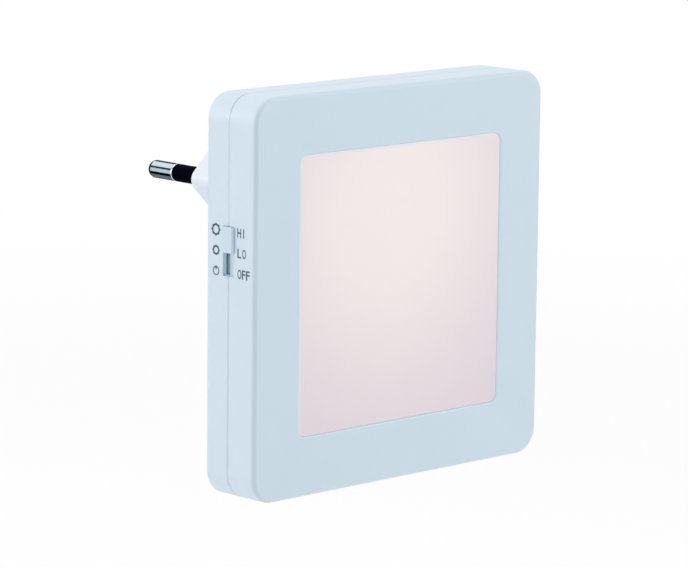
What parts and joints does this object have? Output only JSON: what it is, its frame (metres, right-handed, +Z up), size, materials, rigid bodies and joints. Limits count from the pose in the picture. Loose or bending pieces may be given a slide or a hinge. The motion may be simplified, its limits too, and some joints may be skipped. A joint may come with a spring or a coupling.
{
  "type": "plug-in night light",
  "caption": "Flat square wall-plug night light with a lit lens, a slide switch (HI, LO, OFF) in its side seam and a two-pin plug neck behind.",
  "frame": {"origin": "middle of the plug's engagement face, between the two pins", "axes": "+Y along the plug into the wall, +Z up, +X to the right of someone who faces the lamp"},
  "size_m": [0.0857, 0.071, 0.085],
  "materials": {
    "case_plastic": "satin",
    "lens_plastic": "satin",
    "guide_acrylic": "polished",
    "white_film": "matte",
    "frame_plastic": "matte",
    "circuit_board": "satin",
    "led_package": "gloss",
    "film_case": "satin",
    "can_sleeve": "satin",
    "black_moulding": "matte",
    "varistor_coat": "satin",
    "resistor_coat": "satin",
    "pin_nickel": "polished",
    "sleeve_plastic": "satin",
    "contact_brass": "satin",
    "steel": "satin",
    "switch_plastic": "matte",
    "wire_brown": "satin",
    "wire_blue": "satin",
    "wire_red": "satin",
    "wire_black": "satin"
  },
  "bodies": {
    "housing": {"front_cover": "case_plastic", "rear_cover": "case_plastic", "lens": "lens_plastic", "light_guide": "guide_acrylic", "reflector_sheet": "white_film", "light_frame": "frame_plastic", "led_strip": "frame_plastic", "leds": "led_package", "main_board": "circuit_board", "film_capacitor": "film_case", "filter_capacitor": "can_sleeve", "bridge_rectifier": "black_moulding", "varistor": "varistor_coat", "fuse_resistor": "resistor_coat", "bleed_resistor": "resistor_coat", "high_level_resistor": "resistor_coat", "low_level_resistor": "resistor_coat", "plug_body": "case_plastic", "pin_carrier": "black_moulding", "pin_left": "pin_nickel", "pin_right": "pin_nickel", "sleeve_left": "sleeve_plastic", "sleeve_right": "sleeve_plastic", "pin_crimps": "contact_brass", "live_wire": "wire_brown", "neutral_wire": "wire_blue", "led_wire_positive": "wire_red", "led_wire_negative": "wire_black", "switch_frame": "steel", "switch_base": "switch_plastic", "switch_terminals": "contact_brass", "case_screws": "steel", "chassis_screws": "steel", "plug_screws": "steel"},
    "switch": {"switch_knob": "case_plastic", "switch_slider": "switch_plastic", "switch_contact": "contact_brass", "detent_balls": "steel", "detent_spring": "steel"}
  },
  "joints": [
    {"name": "switch_slide", "type": "slide", "parent": "housing", "child": "switch", "axis": [0, 0, 1], "range_m": [-0.0049, 0]}
  ]
}
